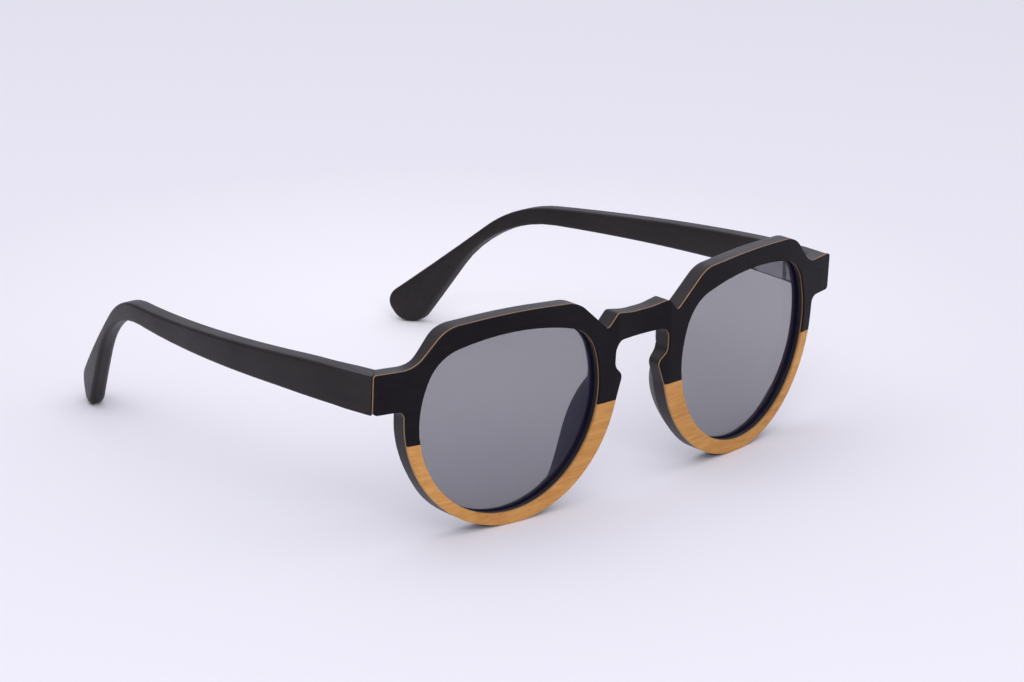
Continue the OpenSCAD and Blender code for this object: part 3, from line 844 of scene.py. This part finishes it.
@dataclass
class Front(Piece):
    """Laminated front: dark core, tan accent layer, dark brow veneer, honey rim veneers and the lenses."""

    face_t: float = 0.45
    accent_t: float = 0.3
    glue: float = 0.02
    ease: float = 0.1
    seam_tol: float = 0.03
    opening_r: float = 0.45
    lip_share: float = 0.1
    slope_w: float = 1.8
    slope_rows: int = 5
    flat_w: float = 0.2
    edge_rows: int = 8
    lens_t: float = 1.2
    lens_depth: float = 1.8
    groove_d: float = 0.8
    fit: float = 0.05
    crease_over: Span = (3.0, 2.0)
    crease_step: float = 0.5
    grid: float = 2.2
    sharp: float = 35.0
    face_sharp: float = 5.0

    def __post_init__(self) -> None:
        """Shapes the back and finds the depth at which the core starts."""
        self.back = Back(self.outline, self.stance)
        self.core_depth = self.face_t + self.accent_t + self.glue

    def _whole(self) -> list[Loop]:
        """Outline of the front's layers.

        Returns:
            Loops of the whole outline and of the two openings.
        """
        o = self.outline
        half = o.upper() + o.lower() + o.nose()
        above, below = o.opening()
        opening = above + below
        return [Loop(half + half.mirrored()), Loop(opening), Loop(opening.mirrored())]

    def _crease(self) -> list[Array]:
        """Points that keep the scoop's creases sharp.

        Returns:
            Flat points along the two edges of the scoop.
        """
        below, over = self.crease_over
        z = np.arange(self.outline.keyhole_top - below, self.outline.bridge_top + over, self.crease_step)
        return [np.stack([np.full_like(z, s * self.stance.scoop_half), z], -1) for s in (-1, 1)]

    def _shell(self, walls: Sequence[Sequence[Row]], depths: Sequence[float | None], name: str,
               sharp: float) -> Object:
        """Closed piece of walls, with caps over their first and their last rows.

        Args:
            walls: Rows of each wall, the outer one first.
            depths: Depths of the two caps, where none stands for the back face.
            name: Name of the piece.
            sharp: Angle from which an edge shows.

        Returns:
            The piece.
        """
        solid = Solid()
        for rows in walls:
            solid.tube(np.stack([self.stance.place(p, d) for p, d in rows]))
        for i, depth in zip((0, -1), depths):
            flat, faces = cap([rows[i][0] for rows in walls], self.grid, self._crease())
            solid.add(self.stance.place(flat, self.back.depth(flat) if depth is None else depth), faces)
        return solid.make(name, sharp)

    def _opening(self, hole: Loop) -> list[Row]:
        """Wall of an opening: two lips with the lens's groove between them, a rounded back edge and a slope.

        Across the slope the swell's share grows by the cubic step, from that of the lip to the whole.

        Args:
            hole: Loop of the opening.

        Returns:
            The wall's rows, from front to back.
        """
        groove = self.groove_d + self.fit
        front, back = self.lens_depth - self.fit, self.lens_depth + self.lens_t + self.fit
        walls = ((self.core_depth, 0), (front, 0), (front, groove), (back, groove), (back, 0))
        rows = [(hole.inset(i), d) for d, i in walls]
        edge = [hole.rounded(self.opening_r, a) for a in quarter(self.edge_rows)[::2]]
        rows += [(p, self.back.depth(p, self.lip_share) - d) for p, d in edge]
        t = np.linspace(0, 1, self.slope_rows + 1)[1:]
        insets = [*(self.opening_r + (self.slope_w - self.opening_r) * t), self.slope_w + self.flat_w]
        shares = [*(self.lip_share + (1 - self.lip_share) * smooth(t, 0, 1)), 1.0]
        slope = [(hole.inset(i), share) for i, share in zip(insets, shares)]
        return rows + [(p, self.back.depth(p, share)) for p, share in slope]

    def core(self) -> None:
        """Dark body: square walls, a rounded back edge, mitred ends, and a groove round each lens."""
        outer, *holes = self._whole()
        r = self.back.radius(outer)
        inner = outer.inset(r + self.flat_w)
        rows = [(outer.inset(0), np.full(len(inner), self.core_depth))]
        rows += [(p, self.back.depth(p) - d) for p, d in (outer.rounded(r, a) for a in quarter(self.edge_rows))]
        rows.append((inner, self.back.depth(inner)))
        corner = self.stance.corner(self.outline.front_w / 2, self.core_depth)
        walls = [[(self.stance.mitred(p, corner, d), d) for p, d in rows], *map(self._opening, holes)]
        obj = self._shell(walls, (self.core_depth, None), "front_core", self.sharp)
        dress(obj, DARK, "front", "front_frame")

    def accent(self) -> None:
        """Thin pale layer behind the face, whose edge shows as a line."""
        depths = self.face_t + self.glue, self.face_t + self.accent_t
        walls = [[(loop.inset(0), d) for d in depths] for loop in self._whole()]
        obj = self._shell(walls, depths, "accent_layer", self.sharp)
        dress(obj, TAN, "front", "accent_veneer")

    def _veneer(self, run: Run, name: str) -> Object:
        """Face veneer inside one loop, with its front edge eased but for the knots on the seam.

        Args:
            run: The loop's knots.
            name: Name of the piece.

        Returns:
            The piece.
        """
        loop = Loop(run)
        off_seam = (np.abs(loop.knot[:, 1] - self.outline.seam_h) > self.seam_tol).astype(float)
        front, side = loop.inset(self.ease * off_seam), loop.inset(0)
        rows = [(front, 0.0), (side, loop.spread(self.ease * off_seam)), (side, self.face_t)]
        return self._shell([rows], (0.0, self.face_t), name, self.face_sharp)

    def brow(self) -> None:
        """Dark face above the seam, all in one."""
        o = self.outline
        half = o.upper() + o.opening()[0] + o.nose()
        obj = self._veneer(half + half.mirrored(), "brow_face")
        dress(obj, BROW, "front", "brow_veneer")

    def rim(self, side: Side) -> None:
        """Honey face of one rim below the seam.

        Args:
            side: Side that the rim is on.
        """
        run = self.outline.lower() + self.outline.opening()[1]
        obj = self._veneer(run if side is Side.LEFT else run.mirrored(), f"rim_face_{side.word}")
        dress(obj, HONEY, "front", f"rim_veneer_{side.word}")

    def lens(self, side: Side) -> None:
        """Tinted sheet held in the groove.

        Args:
            side: Side that the lens is on.
        """
        above, below = self.outline.opening(self.groove_d)
        run = above + below
        ring = Loop(run if side is Side.LEFT else run.mirrored()).inset(0)
        depths = self.lens_depth, self.lens_depth + self.lens_t
        obj = self._shell([[(ring, d) for d in depths]], depths, f"lens_sheet_{side.word}", self.sharp)
        dress(obj, SMOKE, "front", f"lens_{side.word}")


@dataclass
class NosePad(Piece):
    """Carved pad that swells from the nose side of the rim's back."""

    reach: float = 5.2
    sweep: float = 68.0
    start: float = 2.0
    splay: float = 0.78
    bias: float = 0.8
    inset: float = 0.06
    sunk: float = 0.5
    end_share: float = 0.004
    stations: int = 72
    columns: int = 28
    base_step: int = 3
    sharp: float = 50.0

    def build(self, side: Side) -> None:
        """Sections round the rim, each an arch of two parabolas over the rim's width.

        The swell is the sine of the station's share raised to bias; across a section, bow = 2 t (1 - t)
        lifts the arch and shifts its peak towards the lens.

        Args:
            side: Side that the pad is on.
        """
        o = self.outline
        share = np.linspace(self.end_share, 1 - self.end_share, self.stations)[:, None]
        a = np.radians(180 + self.sweep * share - self.start)
        d = np.stack([np.cos(a), np.sin(a)], -1)
        swell = np.sin(np.pi * share ** self.bias)
        apart = o.rim_c - o.lens_c
        across = d @ apart
        outer = o.rim_r - self.inset
        inner = np.sqrt(across ** 2 - apart @ apart + (o.lens_r + self.inset) ** 2) - across
        t = np.linspace(0, 1, self.columns)[None]
        bow = 2 * t * (1 - t)
        peak = self.splay * (1 + swell) - 0.5
        flat = o.rim_c + d * (outer + (inner - outer) * (bow * peak + t * t))[..., None]
        lift = 2 * bow * self.reach * swell
        flat = np.concatenate([flat, flat[:, ::-self.base_step]], 1)
        lift = np.pad(lift, ((0, 0), (0, flat.shape[1] - self.columns)), constant_values=-self.sunk)
        points = self.stance.place(flat.reshape(-1, 2), self.stance.front_t, lift.ravel())
        rows = (points * (side.value, 1, 1)).reshape(*lift.shape, 3)
        solid = Solid()
        solid.tube(rows)
        for row in (rows[0], rows[-1]):
            solid.add(row, np.arange(len(row))[None])
        obj = solid.make(f"carved_pad_{side.word}", self.sharp)
        dress(obj, DARK, "front", f"nose_pad_{side.word}")


@dataclass
class Temple(Piece):
    """Bowed wooden temple with eased edges and a paddle at its tip."""

    thick: float = 4.2
    bow_r: float = 210.0
    splay: float = 8.0
    top_start: Corner = (20.0, 0.0, 0.0)
    shoulder: Corner = (28.0, 0.0, 150.0)
    belly: Corner = (38.0, 0.7, 300.0)
    low_end: Corner = (20.0, 0.37, 0.0)
    fall: float = 4.4
    waist_h: float = 3.8
    bend_top_r: float = 30.0
    bend_low_r: float = 32.0
    drop_top: float = 40.0
    drop_low: float = 57.5
    tip_y: float = 131.5
    tip_w: float = 11.6
    tip_tilt: float = 58.0
    tip_r: float = 4.2
    gap: float = 0.15
    core_depth: float = 0.82
    pin_y: float = 16.32
    rebate: float = 0.85
    slot_half_h: float = 3.2
    slot_step: float = 0.6
    slit: float = 0.02
    butt_r: float = 0.08
    edge_r: float = 0.75
    edge_span: Span = (15.0, 24.0)
    tip_edge_r: float = 1.5
    tip_span: Span = (100.0, 128.0)
    edge_rows: int = 7
    wall_step: float = 1.8
    grid: float = 2.4
    sharp: float = 30.0
    butt_passes: int = 3

    def __post_init__(self) -> None:
        """Finds the mitre's corner and the butt behind it, the centre of the outer face and the slot's edges.

        The outer face has its splay where it leaves the front's back.
        """
        self.corner = self.stance.corner(self.outline.front_w / 2, self.core_depth)
        self.butt_y = float(self.corner[1] + self.gap * math.sqrt(2))
        turn = math.radians(self.splay) + math.asin((self.stance.front_t - self.core_depth) / self.bow_r)
        self.bow_c = self.corner + self.bow_r * np.array([-math.cos(turn), math.sin(turn)])
        edges = self.stance.hinge_z + np.array([-1, -1, 1, 1]) * self.slot_half_h
        self.slot_z = edges + np.array([-1, 1, -1, 1]) * self.slit

    def side_run(self) -> Run:
        """Outline seen from the side.

        Returns:
            The run from the butt along the top, round the tip and back below.
        """
        o, rad = self.outline, math.radians
        half = (180 - self.drop_low - self.tip_tilt) / 2
        sunk = 1 - math.sin(rad(self.tip_tilt + half)) / math.sin(rad(half))
        tip_low = np.array([self.tip_y, self.tip_r * sunk])
        tip_top = tip_low + self.tip_w * np.array([math.cos(rad(self.tip_tilt)), math.sin(rad(self.tip_tilt))])
        bend = o.end_top - self.fall
        bend_top = tip_top[0] - (bend - tip_top[1]) / math.tan(rad(self.drop_top))
        bend_low = self.tip_y - (bend - self.waist_h - tip_low[1]) / math.tan(rad(self.drop_low))
        butt = np.array([self.butt_y, self.pin_y - self.slit, self.pin_y + self.slit])
        top = Run.points(np.stack([butt, np.full(len(butt), o.end_top)], -1))
        body = Run.eased([
            off(0, o.end_top, self.top_start), off(0, o.end_top, self.shoulder),
            (bend_top, bend, self.bend_top_r), (*tip_top, self.tip_r), (*tip_low, self.tip_r),
            (bend_low, bend - self.waist_h, self.bend_low_r),
            off(0, o.end_low, self.belly), off(0, o.end_low, self.low_end)])
        slope = self.belly[1] / self.belly[0]
        under = Run.points(np.stack([butt[::-1], o.end_low + slope * butt[::-1]], -1))
        end = Run.points(np.stack([np.full(len(self.slot_z), self.butt_y), self.slot_z], -1))
        return top + body + under + end

    def place(self, flat: Array, across: Any) -> Array:
        """Points of the temple at a depth inside its outer face.

        The outer face is a circle through the endpiece's corner. The butt shears to lie along the mitre,
        where x and y have one sum, or the front's back face, and a slot in the inner corner makes room for
        the hinge.

        Args:
            flat: Distance back and height.
            across: Depth from the outer face, one or one for each point.

        Returns:
            Points of the row frame.
        """
        start, z = flat[:, 0], flat[:, 1]
        across = np.broadcast_to(np.asarray(across, float), start.shape)
        slot = (start < self.pin_y) & (np.abs(z - self.stance.hinge_z) < self.slot_half_h)
        across = np.where(slot, across * (1 - self.rebate / self.thick), across)
        lean = (z - self.stance.hinge_z) * math.tan(math.radians(self.stance.tilt))
        fade = 1 - smooth(start, self.butt_y, self.pin_y)
        y = start
        for _ in range(self.butt_passes):
            x = self.bow_c[0] + np.sqrt((self.bow_r - across) ** 2 - (y - self.bow_c[1]) ** 2)
            mitre = self.corner.sum() + self.gap * math.sqrt(2) - x
            butt = np.minimum(mitre, self.stance.wrap(x, self.stance.front_t + self.gap)) - lean
            y = start + (butt - self.butt_y) * fade
        return np.stack([x, y - self.stance.mid_y, z], -1)

    def build(self, side: Side) -> None:
        """Walls with edges rounded by a radius that grows towards the tip, and two bowed faces.

        Args:
            side: Side that the temple is on.
        """
        loop = Loop(self.side_run(), self.wall_step)
        y = loop.knot[:, 0]
        r = (self.butt_r + (self.edge_r - self.butt_r) * smooth(y, *self.edge_span)
             + (self.tip_edge_r - self.edge_r) * smooth(y, *self.tip_span))
        edge = [loop.rounded(r, a) for a in quarter(self.edge_rows)[::-1]]
        rows = edge + [(p, self.thick - d) for p, d in edge[::-1]]
        flip = np.array([side.value, 1, 1])
        solid = Solid()
        solid.tube(np.stack([self.place(p, d) * flip for p, d in rows]))
        up = np.r_[self.slot_z, np.arange(self.slot_z[1] + self.slot_step, self.slot_z[2], self.slot_step)]
        back = np.arange(self.butt_y + self.slot_step, self.pin_y, self.slot_step)
        lines = [np.stack([np.full_like(up, self.pin_y + s), up], -1) for s in (-self.slit, self.slit)]
        lines += [np.stack([back, np.full_like(back, h)], -1) for h in self.slot_z]
        flat, faces = cap([rows[0][0]], self.grid, lines)
        for d in (0.0, self.thick):
            solid.add(self.place(flat, d) * flip, faces)
        obj = solid.make(f"temple_arm_{side.word}", self.sharp)
        dress(obj, ARM, f"temple_{side.word}", f"temple_{side.word}")


@dataclass
class Hinges:
    """Steel hinge pieces, which keep the shape of their nodes."""

    pieces: tuple[str, ...] = (
        "front_hinge", "hinge_housing", "hinge_carriage", "hinge_stop", "hinge_spring",
        "front_hinge_screws", "hinge_screw", "housing_screws")

    def build(self) -> None:
        """Gives plates and screws their metals on both sides."""
        for name in self.pieces:
            for side in Side:
                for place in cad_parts[f"{name}_{side.word}"].material_slots:
                    place.material = (SCREW if "screw" in name else PLATE).material()
        LOG.info("hinges dressed")


@dataclass(frozen=True)
class Lamp:
    """Soft box, with its place, its aim, its width and height, its power in watts and its colour."""

    name: str
    place: Point
    aim: Point
    size: Span
    power: float
    colour: Colour

    def hang(self) -> None:
        """Adds the lamp to the scene."""
        data = bpy.data.lights.new(self.name, "AREA")
        data.shape, data.size, data.size_y = "RECTANGLE", *self.size
        data.energy, data.color = self.power, self.colour
        away = Vector(self.place) - Vector(self.aim)
        turn = away.to_track_quat("Z", "Y").to_matrix().to_4x4()
        linked(self.name, data).matrix_world = Matrix.Translation(self.place) @ turn


@dataclass
class Studio:
    """Pale floor, light from all round and from three soft boxes, and the photograph's camera."""

    floor_half_w: float = 4.0
    sky: tuple[tuple[float, Colour], ...] = (
        (0.0, (0.12, 0.12, 0.14)), (0.35, (0.45, 0.45, 0.5)), (1.0, (0.93, 0.92, 1.0)))
    sky_strength: float = 1.02
    lamps: tuple[Lamp, ...] = (
        Lamp("key", (-0.25, 0.12, 1.1), (0.0, 0.0, 0.0), (1.4, 1.2), 2.5, (0.95, 0.945, 1.0)),
        Lamp("fill", (-0.6, -0.95, 0.75), (0.0, 0.0, 0.02), (0.9, 0.7), 6.0, (0.95, 0.945, 1.0)),
        Lamp("back", (1.65, 1.8, 0.85), (0.0, 0.0, 0.03), (2.5, 1.5), 7.6, (0.86, 0.85, 1.0)))
    eye: Point = (-0.472704, -0.511215, 0.230265)
    azimuth: float = -44.296
    elevation: float = 16.871
    roll: float = 0.592
    lens: float = 108.884
    sensor_w: float = 36.0
    clip: Span = (0.01, 20.0)

    def camera(self) -> None:
        """Camera at the photograph's place, with its fitted turn and focal length."""
        data = bpy.data.cameras.new("photo_camera")
        data.lens, data.sensor_width, data.sensor_fit = self.lens, self.sensor_w, "HORIZONTAL"
        data.clip_start, data.clip_end = self.clip
        camera = bpy.context.scene.camera = linked("photo_camera", data)
        stand = Matrix.Translation(self.eye)
        for angle, axis in ((self.azimuth, "Z"), (90 - self.elevation, "X"), (self.roll, "Z")):
            stand = stand @ Matrix.Rotation(math.radians(angle), 4, axis)
        camera.matrix_world = stand

    def ground(self) -> None:
        """Wide floor under the glasses."""
        w = self.floor_half_w
        mesh = bpy.data.meshes.new("floor")
        mesh.from_pydata([(-w, -w, 0), (w, -w, 0), (w, w, 0), (-w, w, 0)], [], [(0, 1, 2, 3)])
        mesh.materials.append(FLOOR.material())
        linked("floor", mesh)

    def sky_light(self) -> None:
        """Even pale surroundings, darker low down."""
        world = bpy.data.worlds.new("studio")
        world.use_nodes = True
        bpy.context.scene.world = world
        g = Graph(world.node_tree)
        height = g.node("ShaderNodeSeparateXYZ", {}, {0: g.node("ShaderNodeTexCoord", output="Generated")}, "Z")
        light = g.node("ShaderNodeValToRGB", {"stops": self.sky}, {"Fac": height})
        shine = g.node("ShaderNodeBackground", {}, {"Color": light, "Strength": self.sky_strength})
        g.node("ShaderNodeOutputWorld", {}, {"Surface": shine})

    def build(self) -> None:
        """Sets the stage."""
        self.camera()
        self.ground()
        self.sky_light()
        for lamp in self.lamps:
            lamp.hang()
        bpy.context.scene.view_settings.view_transform = "Standard"


def main() -> None:
    """Builds the stage and the sub-assemblies in order."""
    logging.basicConfig(level=logging.INFO, format="%(name)s: %(message)s")
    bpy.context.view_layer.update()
    Studio().build()
    front = Front()
    front.core()
    front.accent()
    front.brow()
    for side in Side:
        front.rim(side)
        front.lens(side)
        NosePad().build(side)
        Temple().build(side)
    Hinges().build()
    bpy.context.view_layer.update()


if __name__ == "__main__":
    main()
